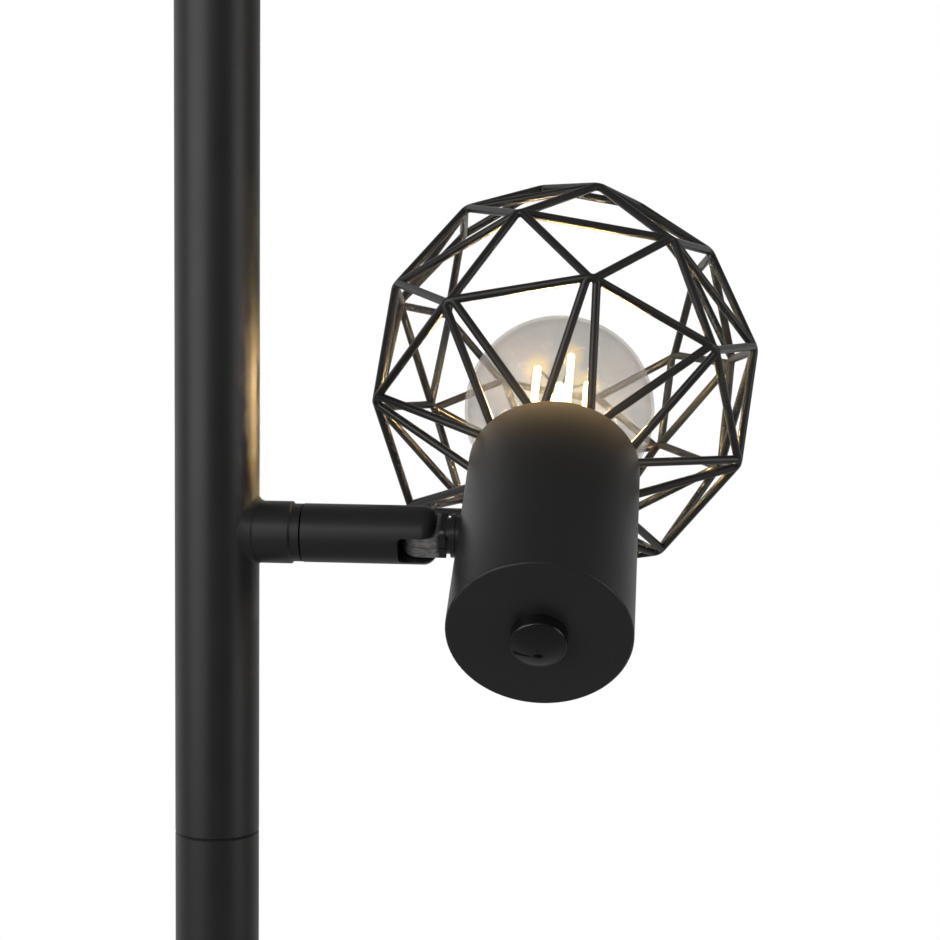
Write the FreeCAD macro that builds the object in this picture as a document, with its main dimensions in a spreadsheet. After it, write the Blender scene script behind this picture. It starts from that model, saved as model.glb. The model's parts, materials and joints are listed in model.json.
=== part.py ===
import FreeCAD, Part
import math
import os
from types import SimpleNamespace

import Sketcher

# A floor lamp: a round weighted foot, a pole of four screwed sections and one spot head whose bulb
# stands in a cage of bent and welded wire. The origin is on the floor under the pole's axis, +Z is
# up and the side arm leaves the pole along +X. All sizes are in millimetres and degrees.
SIZES = {
    # foot
    "foot_diameter": 250.0,
    "pad_inset": 4.0,
    "pad_thick": 2.0,
    "pad_hole_diameter": 60.0,
    "weight_gap": 1.7,
    "weight_thick": 13.0,
    "nut_recess_diameter": 30.0,
    "nut_recess_depth": 9.0,
    "cord_groove_width": 9.0,
    "cord_groove_depth": 10.0,
    "cover_wall": 1.5,
    "cover_edge_radius": 3.0,
    "cover_rim_gap": 0.6,
    "inlet_rise": 6.5,
    "inlet_bore": 6.4,
    "bushing_face_diameter": 10.4,
    "bushing_flange_diameter": 12.8,
    "bushing_length": 5.3,
    "foot_collar_diameter": 34.0,
    "foot_collar_height": 9.0,
    "foot_collar_rim": 2.0,
    "foot_plug_length": 26.0,
    "foot_rod_diameter": 12.0,
    "foot_rod_bore": 9.2,
    "foot_rod_length": 35.0,
    "foot_nut_width": 19.0,
    "foot_nut_thick": 6.0,
    "foot_washer_diameter": 24.0,
    "foot_washer_thick": 1.6,
    # pole
    "pole_diameter": 19.1,
    "pole_wall": 1.2,
    "pole_edge_chamfer": 0.35,
    "section_length": 400.0,
    "coupler_length": 50.0,
    "coupler_bore": 10.0,
    "coupler_thread_step": 0.15,
    "seam_to_arm": 69.1,
    "arm_to_top": 214.0,
    "pole_cap_thick": 2.0,
    "pole_cap_rounding": 1.5,
    "pole_cap_stem": 12.0,
    "fit_gap": 0.03,
    # swivel between pole and arm
    "boss_diameter": 14.1,
    "boss_end": 17.75,
    "boss_chamfer": 0.45,
    "boss_lip_diameter": 13.1,
    "boss_lip_length": 2.0,
    "spindle_diameter": 8.0,
    "spindle_bore": 5.2,
    "spindle_start": 0.4,
    "spindle_nut_width": 12.0,
    "spindle_nut_thick": 4.0,
    "turning_gap": 0.05,
    "swivel_washer_diameter": 9.5,
    "swivel_washer_thick": 0.35,
    "swivel_nut_hub_diameter": 8.7,
    "swivel_nut_hub_length": 2.15,
    "swivel_nut_diameter": 11.2,
    "swivel_nut_flange_thick": 2.5,
    "stop_circle_radius": 4.95,
    "stop_tab_width": 1.2,
    "stop_tab_depth": 1.4,
    "dowel_diameter": 1.0,
    "dowel_length": 4.4,
    "dowel_reach": 1.9,
    # arm
    "arm_diameter": 13.3,
    "arm_bore": 11.7,
    "arm_bore_setback": 6.0,
    "arm_length": 30.1,
    "arm_end_rounding": 3.0,
    "arm_passage": 8.0,
    "plug_length": 8.0,
    "slot_width": 6.8,
    "slot_length": 8.25,
    "slot_depth": 5.3,
    "slot_corner": 1.0,
    # knuckle
    "pin_setback": 3.55,
    "pin_diameter": 3.0,
    "pin_outer_end": 6.2,
    "pin_inner_end": 5.3,
    "knuckle_washer_diameter": 6.0,
    "knuckle_washer_thick": 0.55,
    "tongue_thick": 5.6,
    "tongue_length": 5.85,
    "tongue_bar_diameter": 10.6,
    "eye_diameter": 9.0,
    "tongue_channel_width": 2.2,
    "tongue_channel_height": 6.4,
    "tongue_line_width": 0.3,
    "tongue_line_depth": 0.25,
    "neck_bar_diameter": 8.2,
    "neck_length": 0.95,
    "neck_collar_diameter": 9.9,
    "neck_collar_thick": 1.0,
    "stud_diameter": 8.0,
    "stud_bore": 4.8,
    "stud_depth": 5.1,
    "spacer_diameter": 9.2,
    "spacer_thick": 0.6,
    "neck_nut_width": 11.0,
    "neck_nut_depth": 4.6,
    # head
    "head_tilt": 32.7,
    "neck_height": 32.4,
    "can_diameter": 40.0,
    "can_length": 57.0,
    "can_wall": 1.0,
    "can_back": 1.2,
    "can_edge_radius": 0.6,
    "back_screw_diameter": 4.0,
    "back_screw_length": 9.0,
    "back_screw_head_diameter": 7.4,
    "back_screw_head_height": 1.7,
    "back_cap_diameter": 12.3,
    "back_cap_height": 4.5,
    "back_cap_wall": 0.8,
    "back_cap_rim": 2.7,
    "back_cap_rounding": 0.6,
    # lampholder
    "bracket_width": 10.0,
    "bracket_thick": 1.2,
    "bracket_gap": 0.1,
    "bracket_end": 24.0,
    "holder_diameter": 24.0,
    "holder_start": 14.0,
    "holder_shoulder": 42.5,
    "holder_flange_diameter": 32.4,
    "holder_flange_height": 3.2,
    "holder_thread_diameter": 27.8,
    "holder_end": 59.5,
    "holder_mouth_diameter": 24.4,
    "holder_mouth_floor": 46.0,
    "holder_bore_floor": 28.6,
    "contact_chamber_diameter": 10.0,
    "contact_chamber_floor": 20.0,
    "contact_width": 4.0,
    "contact_thick": 0.5,
    "side_screw_height": 19.0,
    "small_screw_diameter": 3.0,
    "small_screw_length": 4.4,
    "small_screw_head_diameter": 5.6,
    "small_screw_head_height": 1.8,
    "terminal_spacing": 16.0,
    "sleeve_wall": 0.4,
    "shade_ring_gap": 0.1,
    "shade_ring_height": 3.5,
    # bulb
    "bulb_diameter": 46.0,
    "bulb_centre": 81.1,
    "bulb_shoulder_angle": 40.0,
    "glass_wall": 0.7,
    "neck_top_diameter": 19.2,
    "neck_end": 47.5,
    "neck_diameter": 16.4,
    "cap_crest_diameter": 13.9,
    "cap_thread_depth": 0.45,
    "cap_thread_pitch": 2.8,
    "cap_thread_start": 31.5,
    "cap_bore": 12.4,
    "cap_skirt_diameter": 17.3,
    "cap_skirt_start": 47.0,
    "cap_end": 51.0,
    "cap_start": 30.2,
    "insulator_start": 27.4,
    "insulator_tip_diameter": 6.4,
    "contact_start": 26.0,
    "contact_diameter": 4.8,
    "contact_neck_diameter": 3.2,
    "stem_flare_diameter": 14.0,
    "stem_flare_start": 50.0,
    "stem_waist": 62.0,
    "stem_rod_diameter": 3.2,
    "stem_end": 92.0,
    "filament_diameter": 1.8,
    "filament_start": 71.6,
    "filament_end": 95.6,
    "filament_circle_diameter": 13.2,
    "filament_turn": 20.4,
    "filament_wire_diameter": 0.6,
    "driver_width": 9.0,
    "driver_thick": 1.0,
    "driver_length": 13.0,
    "driver_start": 32.0,
    # cage: radius of each wire ring and its distance from the can's back face
    "cage_wire_diameter": 2.0,
    "cage_ring_bend": 3.0,
    "cage_web_bend": 1.3,
    "cage_turn": 11.2,
    "base_ring_radius": 16.6,
    "base_ring_height": 57.2,
    "ring_1_radius": 43.9,
    "ring_1_height": 72.6,
    "ring_2_radius": 47.6,
    "ring_2_height": 95.1,
    "ring_3_radius": 43.1,
    "ring_3_height": 115.5,
    "ring_4_radius": 33.0,
    "ring_4_height": 132.0,
    # internal wiring
    "flex_diameter": 2.8,
    "flex_offset": 2.6,
    "flex_bend": 6.0,
    "core_diameter": 1.3,
    "core_bend": 1.5,
}
SECTIONS = 3
CAGE_SIDES = 8
FILAMENTS = 4
CAP_THREADS = 5
CORNER_ROUNDS = 30  # rounds that settle a bent wire's corners, which move one another


class Size:
    """A size that knows its number and the spreadsheet expression that it comes from."""

    def __init__(self, number, text):
        self.number = number
        self.text = text

    def _join(self, sign, other, number, swap=False):
        other_text = other.text if isinstance(other, Size) else repr(float(other))
        left, right = (other_text, self.text) if swap else (self.text, other_text)
        return Size(number, f"({left} {sign} {right})")

    def __add__(self, other):
        return self._join("+", other, self.number + plain(other))

    def __radd__(self, other):
        return self._join("+", other, self.number + plain(other))

    def __sub__(self, other):
        return self._join("-", other, self.number - plain(other))

    def __rsub__(self, other):
        return self._join("-", other, plain(other) - self.number, swap=True)

    def __mul__(self, other):
        return self._join("*", other, self.number * plain(other))

    def __rmul__(self, other):
        return self._join("*", other, self.number * plain(other))

    def __truediv__(self, other):
        return self._join("/", other, self.number / plain(other))

    def __neg__(self):
        return Size(-self.number, f"(-1 * {self.text})")

    def cos(self):
        return Size(math.cos(math.radians(self.number)), f"cos({self.text} * 1deg)")

    def sin(self):
        return Size(math.sin(math.radians(self.number)), f"sin({self.text} * 1deg)")

    def __pow__(self, power):
        return Size(self.number**power, f"({self.text} ^ {power})")


def plain(value):
    """The number of a size, or the number itself."""
    return value.number if isinstance(value, Size) else float(value)


Vector = FreeCAD.Vector
document = FreeCAD.newDocument("cage_floor_lamp")
sheet = document.addObject("Spreadsheet::Sheet", "Sizes")
for row, (alias, number) in enumerate(SIZES.items(), 1):
    sheet.set(f"A{row}", alias)
    sheet.set(f"B{row}", str(number))
    sheet.setAlias(f"B{row}", alias)
document.recompute()
d = SimpleNamespace(**{alias: Size(float(sheet.get(alias)), f"Sizes.{alias}") for alias in SIZES})

NODES = []  # the sub-parts, in the order in which they are built


# ---------------------------------------------------------------------------- places worked out
foot_radius = d.foot_diameter / 2
inlet_height = d.pad_thick + d.inlet_rise
base_top = d.pad_thick + d.weight_thick + d.cover_wall
arm_height = base_top + d.section_length * SECTIONS + d.seam_to_arm
pole_top = arm_height + d.arm_to_top
pole_radius = d.pole_diameter / 2
pole_bore_radius = pole_radius - d.pole_wall
plug_radius = pole_bore_radius - d.fit_gap
arm_radius = d.arm_diameter / 2
spindle_radius = d.spindle_diameter / 2
can_radius = d.can_diameter / 2
# along the arm, from the pole's axis
lip_end = d.boss_end + d.boss_lip_length
arm_start = lip_end + d.swivel_washer_thick + d.turning_gap
plug_end = arm_start + d.plug_length
swivel_nut_start = plug_end + d.turning_gap
flange_start = swivel_nut_start + d.swivel_nut_hub_length
spindle_end = flange_start + d.swivel_nut_flange_thick
arm_end = arm_start + d.arm_length
slot_end = arm_end - d.slot_length
arm_bore_end = slot_end - d.arm_bore_setback
pin_position = arm_end - d.pin_setback
tongue_end = pin_position + d.tongue_length
collar_start = tongue_end + d.neck_length
collar_end = collar_start + d.neck_collar_thick
can_side = collar_end + d.spacer_thick
head_reach = can_side + can_radius
stud_end = can_side + d.stud_depth
neck_nut_end = can_side + d.neck_nut_depth
# along the head, from the can's back face
holder_radius = d.holder_diameter / 2
wire_radius = d.cage_wire_diameter / 2
bulb_radius = d.bulb_diameter / 2
flange_top = d.base_ring_height - wire_radius
flange_bottom = flange_top - d.holder_flange_height


class Frame:
    """A local frame: where its origin lies, as sizes, and how it is turned."""

    def __init__(self, base, rotation):
        self.base = base
        self.rotation = rotation

    def put(self, item):
        item.Placement = FreeCAD.Placement(Vector(*map(plain, self.base)), self.rotation)
        for axis, place in zip("xyz", self.base):
            if isinstance(place, Size):
                item.setExpression(f"Placement.Base.{axis}", place.text)
        return item


tilt = math.radians(d.head_tilt.number)
ARM_AXIS = Vector(1, 0, 0)
HEAD_AXIS = Vector(0, math.cos(tilt), math.sin(tilt))  # where the bulb points
PIN_AXIS = Vector(0, -math.sin(tilt), math.cos(tilt))
TURN = {
    "x": FreeCAD.Rotation(Vector(0, 1, 0), 90),
    "y": FreeCAD.Rotation(Vector(1, 0, 0), -90),
    "z": FreeCAD.Rotation(),
}
WORLD = Frame((0, 0, 0), FreeCAD.Rotation())
# arm frame: local Z runs out along the arm, local X along the head's axis, local Y along the pin
ARM = Frame((0, 0, arm_height), FreeCAD.Rotation(HEAD_AXIS, PIN_AXIS, ARM_AXIS, "ZXY"))
# head frame: origin in the middle of the can's back face, local Z to the bulb, local X outwards
HEAD = Frame(
    (
        head_reach,
        -(d.neck_height * d.head_tilt.cos()),
        arm_height - d.neck_height * d.head_tilt.sin(),
    ),
    FreeCAD.Rotation(ARM_AXIS, -PIN_AXIS, HEAD_AXIS, "ZXY"),
)
# inlet frame: local Z points out of the foot's rim, away from the head
INLET = Frame((-foot_radius, 0, inlet_height), FreeCAD.Rotation(Vector(0, 1, 0), -90))


# ---------------------------------------------------------------------------- ways of building
def bind(item, **sizes):
    for name, value in sizes.items():
        setattr(item, name, plain(value))
        if isinstance(value, Size):
            item.setExpression(name, value.text)
    return item


def node(item, frame=WORLD):
    """Marks an item as a finished sub-part and puts it in its frame."""
    frame.put(item)
    NODES.append(item)
    return item


def draw(sketch, outline):
    """Draws a closed outline whose every point is bound to the sheet.

    A point is (x, y), or (x, y, radius, side) where the edge that ends there is an arc, with side
    1 where it turns anticlockwise and -1 where it turns clockwise.
    """
    edges = []
    for index, point in enumerate(outline):
        start = outline[index - 1]
        p = Vector(plain(start[0]), plain(start[1]), 0)
        q = Vector(plain(point[0]), plain(point[1]), 0)
        if len(point) == 2:
            edges.append((sketch.addGeometry(Part.LineSegment(p, q), False), 1, 2))
            continue
        radius, side = plain(point[2]), point[3]
        chord = q - p
        rise = math.sqrt(max(radius**2 - chord.Length**2 / 4, 0))
        left = Vector(-chord.y, chord.x, 0).normalize()
        centre = (p + q) / 2 + left * rise * side
        first, last = (p, q) if side > 0 else (q, p)
        angles = [math.atan2(end.y - centre.y, end.x - centre.x) for end in (first, last)]
        circle = Part.Circle(centre, Vector(0, 0, 1), radius)
        edge = sketch.addGeometry(Part.ArcOfCircle(circle, *angles), False)
        edges.append((edge, 1, 2) if side > 0 else (edge, 2, 1))
        rule = sketch.addConstraint(Sketcher.Constraint("Radius", edge, radius))
        if isinstance(point[2], Size):
            sketch.setExpression(f"Constraints[{rule}]", point[2].text)
    for index, point in enumerate(outline):
        edge, _, end = edges[index]
        following, start, _ = edges[(index + 1) % len(outline)]
        sketch.addConstraint(Sketcher.Constraint("Coincident", edge, end, following, start))
        for kind, axis, value in (("DistanceX", -2, point[0]), ("DistanceY", -1, point[1])):
            if not isinstance(value, Size):
                sketch.addConstraint(Sketcher.Constraint("PointOnObject", edge, end, axis))
                continue
            rule = sketch.addConstraint(
                Sketcher.Constraint(kind, -1, 1, edge, end, value.number)
            )
            sketch.setExpression(f"Constraints[{rule}]", value.text)


def sketched(label, plane, outline):
    """A body with one bound sketch on one of its own origin planes."""
    body = document.addObject("PartDesign::Body", label)
    sketch = body.newObject("Sketcher::SketchObject", f"{label}_outline")
    for feature in body.Origin.OriginFeatures:
        if feature.Role == plane:
            sketch.AttachmentSupport = (feature, [""])
    sketch.MapMode = "FlatFace"
    draw(sketch, outline)
    return body, sketch


def turned(label, outline):
    """A turned piece: the outline is given as (radius, height) and turned about local Z."""
    body, sketch = sketched(label, "XZ_Plane", outline)
    revolution = body.newObject("PartDesign::Revolution", f"{label}_turned")
    revolution.Profile = sketch
    revolution.ReferenceAxis = (sketch, ["V_Axis"])
    revolution.Angle = 360
    body.Tip = revolution
    return body


def ring(label, inner_radius, outer_radius, start, end):
    """A plain ring, washer or tube about local Z."""
    corners = [(inner_radius, start), (outer_radius, start), (outer_radius, end), (inner_radius, end)]
    return turned(label, corners)


def cylinder(name, radius, start, end, at=(0, 0), axis="z"):
    """A cylinder along a local axis; at gives its place along the two other axes, in order."""
    item = document.addObject("Part::Cylinder", name)
    item.Placement = FreeCAD.Placement(Vector(), TURN[axis])
    bind(item, Radius=radius, Height=end - start)
    places = dict(zip([letter for letter in "xyz" if letter != axis], at))
    places[axis] = start
    for letter, place in places.items():
        set_place(item, letter, place)
    return item


def set_place(item, letter, place):
    placement = item.Placement
    setattr(placement.Base, letter, plain(place))
    item.Placement = placement
    if isinstance(place, Size):
        item.setExpression(f"Placement.Base.{letter}", place.text)


def box(name, x, y, z):
    """A block that runs from x[0] to x[1], and the same along y and z."""
    item = document.addObject("Part::Box", name)
    bind(item, Length=x[1] - x[0], Width=y[1] - y[0], Height=z[1] - z[0])
    for letter, ends in zip("xyz", (x, y, z)):
        set_place(item, letter, ends[0])
    return item


def prism(name, width, start, end, sides=6):
    """A nut's blank: width is measured across its flats."""
    item = document.addObject("Part::Prism", name)
    item.Polygon = sides
    bind(item, Circumradius=width / (2 * math.cos(math.pi / sides)), Height=end - start)
    set_place(item, "z", start)
    return item


def fuse(label, *pieces):
    item = document.addObject("Part::MultiFuse", label)
    item.Shapes = list(pieces)
    item.Refine = True
    return item


def cut(label, base, *tools):
    item = document.addObject("Part::Cut", label)
    item.Base = base
    item.Tool = tools[0] if len(tools) == 1 else fuse(f"{label}_tools", *tools)
    return item


def group(label, pieces):
    """Identical small pieces that share one node."""
    item = document.addObject("Part::Compound", label)
    item.Links = pieces
    return item


def shaped(label, shape):
    item = document.addObject("Part::Feature", label)
    item.Shape = shape
    return item


def bent_wire(points, bend, radius, closed=False, through=False):
    """A round wire along straight runs that are joined by tangent arcs.

    Where through is true the wire's line touches each point, so its corners stand a little
    further out. A closed wire comes back to its first point.
    """
    corners = list(points)
    count = len(points)
    inner = range(count) if closed else range(1, count - 1)

    def turn(i):
        """At a corner: the ways along its two runs, half its angle, and its arc's middle."""
        before = (corners[i - 1] - corners[i]).normalize()
        after = (corners[(i + 1) % count] - corners[i]).normalize()
        half = before.getAngle(after) / 2
        return before, after, half, (before + after).normalize() * (bend / math.sin(half) - bend)

    for _ in range(CORNER_ROUNDS if through else 0):
        for i in inner:
            corners[i] = points[i] - turn(i)[3]
    arcs = {}
    for i in inner:
        before, after, half, middle = turn(i)
        reach = bend / math.tan(half)
        arcs[i] = (corners[i] + before * reach, corners[i] + middle, corners[i] + after * reach)
    edges = []
    here = arcs[count - 1][2] if closed else corners[0]
    for i in inner:
        edges.append(Part.LineSegment(here, arcs[i][0]).toShape())
        edges.append(Part.Arc(*arcs[i]).toShape())
        here = arcs[i][2]
    if not closed:
        edges.append(Part.LineSegment(here, corners[-1]).toShape())
    line = Part.Wire(edges)
    start = edges[0].firstVertex().Point
    direction = edges[0].tangentAt(edges[0].FirstParameter)
    section = Part.Wire([Part.Circle(start, direction, radius).toShape()])
    return line.makePipeShell([section], True, False)


def on_circle(radius, degrees, height):
    angle = math.radians(degrees)
    return Vector(radius * math.cos(angle), radius * math.sin(angle), height)


def rod(start, end, radius):
    return Part.makeCylinder(radius, (end - start).Length, start, end - start)


# ---------------------------------------------------------------------------- foot
def make_foot():
    weight_top = d.pad_thick + d.weight_thick
    rod_radius = d.foot_rod_diameter / 2
    recess_top = d.pad_thick + d.nut_recess_depth
    washer_bottom = recess_top - d.foot_washer_thick
    nut_bottom = washer_bottom - d.foot_nut_thick

    node(ring("floor_pad", d.pad_hole_diameter / 2, foot_radius - d.pad_inset, 0, d.pad_thick))

    # the weight stays clear of the bushing, which stands inside the cover's rim
    weight_radius = foot_radius - d.bushing_length - d.weight_gap
    weight = cylinder("weight_disc", weight_radius, d.pad_thick, weight_top)
    rod_hole = cylinder("weight_rod_hole", rod_radius, 0, base_top)
    recess = cylinder("weight_recess", d.nut_recess_diameter / 2, 0, recess_top)
    groove = box(
        "weight_groove",
        (-d.foot_diameter, 0),
        (-(d.cord_groove_width / 2), d.cord_groove_width / 2),
        (0, d.pad_thick + d.cord_groove_depth),
    )
    node(cut("base_weight", weight, rod_hole, recess, groove))

    rim_bottom = d.cover_rim_gap + d.pad_thick
    shell = turned(
        "cover_shell",
        [
            (rod_radius, weight_top),
            (foot_radius - d.cover_wall, weight_top),
            (foot_radius - d.cover_wall, rim_bottom),
            (foot_radius, rim_bottom),
            (foot_radius, base_top - d.cover_edge_radius),
            (foot_radius - d.cover_edge_radius, base_top, d.cover_edge_radius, 1),
            (rod_radius, base_top),
        ],
    )
    inlet_hole = cylinder(
        "cover_inlet_hole",
        d.bushing_face_diameter / 2 + d.fit_gap,
        -d.foot_diameter,
        -(foot_radius - d.foot_collar_diameter),
        (0, inlet_height),
        "x",
    )
    node(cut("base_cover", shell, inlet_hole))

    flange_front = -(d.cover_wall + d.bushing_length / 10)
    bushing = turned(
        "cable_bushing",
        [
            (d.inlet_bore / 2, -d.bushing_length),
            (d.bushing_flange_diameter / 2, -d.bushing_length),
            (d.bushing_flange_diameter / 2, flange_front),
            (d.bushing_face_diameter / 2, flange_front),
            (d.bushing_face_diameter / 2, -d.cover_edge_radius / 12),
            (d.inlet_bore / 2, -d.cover_edge_radius / 12),
        ],
    )
    node(bushing, INLET)

    collar_inner = pole_radius + d.fit_gap
    collar_outer = d.foot_collar_diameter / 2
    node(
        turned(
            "foot_collar",
            [
                (collar_inner, base_top),
                (collar_outer, base_top),
                (collar_outer, base_top + d.foot_collar_rim),
                (
                    collar_inner + d.pole_wall,
                    base_top + d.foot_collar_height,
                    d.foot_collar_height * 1.2,
                    -1,
                ),
                (collar_inner, base_top + d.foot_collar_height),
            ],
        )
    )

    node(ring("foot_plug", rod_radius, plug_radius, base_top, base_top + d.foot_plug_length))
    rod_start = nut_bottom - d.fit_gap
    node(ring("foot_rod", d.foot_rod_bore / 2, rod_radius, rod_start, rod_start + d.foot_rod_length))
    nut = prism("foot_nut_blank", d.foot_nut_width, nut_bottom, washer_bottom)
    nut_hole = cylinder("foot_nut_hole", rod_radius, 0, base_top)
    node(cut("foot_nut", nut, nut_hole))
    node(ring("foot_washer", rod_radius, d.foot_washer_diameter / 2, washer_bottom, recess_top))


# ---------------------------------------------------------------------------- pole
def tube_outline(start, end):
    edge = d.pole_edge_chamfer
    return [
        (pole_bore_radius, start),
        (pole_radius - edge, start),
        (pole_radius, start + edge),
        (pole_radius, end - edge),
        (pole_radius - edge, end),
        (pole_bore_radius, end),
    ]


def make_pole():
    start = base_top
    for number in range(1, SECTIONS + 1):
        end = start + d.section_length
        node(turned(f"pole_section_{number}", tube_outline(start, end)))
        half = d.coupler_length / 2
        thread = plug_radius - d.coupler_thread_step
        outline = [
            (d.coupler_bore / 2, end - half),
            (plug_radius, end - half),
            (plug_radius, end),
            (thread, end),
            (thread, end + half),
            (d.coupler_bore / 2, end + half),
        ]
        node(turned(f"pole_coupler_{number}", outline))
        start = end

    tube = turned("top_tube", tube_outline(start, pole_top))
    spindle_hole = cylinder(
        "top_spindle_hole", spindle_radius, 0, d.pole_diameter, (0, arm_height), "x"
    )
    node(cut("pole_top_section", tube, spindle_hole))

    cap_top = pole_top + d.pole_cap_thick
    rounding = d.pole_cap_rounding
    node(
        turned(
            "pole_cap",
            [
                (0, pole_top - d.pole_cap_stem),
                (plug_radius, pole_top - d.pole_cap_stem),
                (plug_radius, pole_top),
                (pole_radius, pole_top),
                (pole_radius, cap_top - rounding),
                (pole_radius - rounding, cap_top, rounding, 1),
                (0, cap_top),
            ],
        )
    )


# ---------------------------------------------------------------------------- swivel at the pole
def make_swivel():
    """The hollow spindle that holds the arm to the pole, its nuts, and the stop for the turn."""
    boss_radius = d.boss_diameter / 2
    lip_radius = d.boss_lip_diameter / 2
    boss = turned(
        "boss_blank",
        [
            (spindle_radius, 0),
            (boss_radius, 0),
            (boss_radius, d.boss_end - d.boss_chamfer),
            (boss_radius - d.boss_chamfer, d.boss_end),
            (lip_radius, d.boss_end),
            (lip_radius, lip_end),
            (spindle_radius, lip_end),
        ],
    )
    saddle = bind(
        document.addObject("Part::Cylinder", "boss_saddle"),
        Radius=pole_radius,
        Height=d.pole_diameter * 2,
    )
    upright = ARM.rotation.inverted()
    low_end = upright.multVec(Vector(0, 0, -d.pole_diameter.number))
    saddle.Placement = FreeCAD.Placement(low_end, upright)
    node(cut("arm_boss", boss, saddle), ARM)

    node(ring("swivel_spindle", d.spindle_bore / 2, spindle_radius, d.spindle_start, spindle_end), ARM)
    seat = pole_bore_radius**2 - (d.spindle_nut_width / 2) ** 2
    seat = Size(math.sqrt(seat.number), f"sqrt({seat.text})") - d.turning_gap
    nut = prism("spindle_nut_blank", d.spindle_nut_width, seat - d.spindle_nut_thick, seat)
    nut_hole = cylinder("spindle_nut_hole", spindle_radius, -arm_start, arm_start)
    node(cut("spindle_nut", nut, nut_hole), pole_nut_frame())
    node(
        ring(
            "swivel_washer",
            spindle_radius,
            d.swivel_washer_diameter / 2,
            lip_end,
            arm_start - d.turning_gap,
        ),
        ARM,
    )

    hub = cylinder("swivel_nut_hub", d.swivel_nut_hub_diameter / 2, swivel_nut_start, flange_start)
    flange = cylinder("swivel_nut_flange", d.swivel_nut_diameter / 2, flange_start, spindle_end)
    tab = box(
        "swivel_nut_tab",
        (spindle_radius, spindle_radius + d.stop_tab_depth),
        (-(d.stop_tab_width / 2), d.stop_tab_width / 2),
        (swivel_nut_start, flange_start),
    )
    thread = cylinder("swivel_nut_thread", spindle_radius, swivel_nut_start, spindle_end)
    node(cut("swivel_nut", fuse("swivel_nut_blank", hub, flange, tab), thread), ARM)


def pole_nut_frame():
    """The nut inside the pole stands with two of its flats upright, against the round wall."""
    return Frame((0, 0, arm_height), FreeCAD.Rotation(Vector(0, 1, 0), 90))


# ---------------------------------------------------------------------------- arm
def make_arm():
    passage_end = slot_end + d.slot_width / 10
    blank = turned(
        "arm_blank",
        [
            (d.arm_bore / 2, arm_start),
            (arm_radius, arm_start),
            (arm_radius, arm_end - d.arm_end_rounding),
            (arm_radius - d.arm_end_rounding, arm_end, d.arm_end_rounding, 1),
            (0, arm_end),
            (0, passage_end),
            (d.arm_passage / 2, passage_end),
            (d.arm_passage / 2, arm_bore_end),
            (d.arm_bore / 2, arm_bore_end),
        ],
    )
    half = d.slot_width / 2
    corner = d.slot_corner
    depth = (-d.arm_diameter, d.slot_depth)
    slot = [
        box("arm_slot", depth, (-half, half), (slot_end + corner, arm_end + d.slot_width)),
        box("arm_slot_end", depth, (-(half - corner), half - corner), (slot_end, arm_end)),
    ]
    for side, place in (("lower", -(half - corner)), ("upper", half - corner)):
        at = (place, slot_end + corner)
        slot.append(cylinder(f"arm_slot_{side}_corner", corner, *depth, at, "x"))
    pin_hole = cylinder(
        "arm_pin_hole",
        d.pin_diameter / 2,
        -d.arm_diameter,
        d.pin_inner_end,
        (0, pin_position),
        "y",
    )
    node(cut("arm_tube", blank, *slot, pin_hole), ARM)

    plug = ring(
        "arm_plug_blank",
        spindle_radius + d.turning_gap,
        d.arm_bore / 2 - d.fit_gap,
        arm_start,
        plug_end,
    )
    dowel_radius = d.dowel_diameter / 2
    dowel_at = (-d.stop_circle_radius, 0)
    dowel_start = plug_end + d.dowel_reach - d.dowel_length
    dowel_hole = cylinder("arm_plug_dowel_hole", dowel_radius, dowel_start, arm_end, dowel_at)
    node(cut("arm_plug", plug, dowel_hole), ARM)
    dowel = cylinder("dowel_blank", dowel_radius, dowel_start, plug_end + d.dowel_reach, dowel_at)
    node(group("stop_dowel", [dowel]), ARM)

    pin = cylinder(
        "hinge_pin_blank",
        d.pin_diameter / 2,
        -d.pin_outer_end,
        d.pin_inner_end,
        (0, pin_position),
        "y",
    )
    node(group("hinge_pin", [pin]), ARM)
    washers = []
    inner = d.tongue_thick / 2 + d.turning_gap / 2
    for side, start in (("upper", inner), ("lower", -(inner + d.knuckle_washer_thick))):
        end = start + d.knuckle_washer_thick
        at = (0, pin_position)
        disc = cylinder(f"{side}_washer_disc", d.knuckle_washer_diameter / 2, start, end, at, "y")
        hole = cylinder(f"{side}_washer_hole", d.pin_diameter / 2, start, end, at, "y")
        washers.append(cut(f"{side}_washer", disc, hole))
    node(group("knuckle_washers", washers), ARM)


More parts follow.
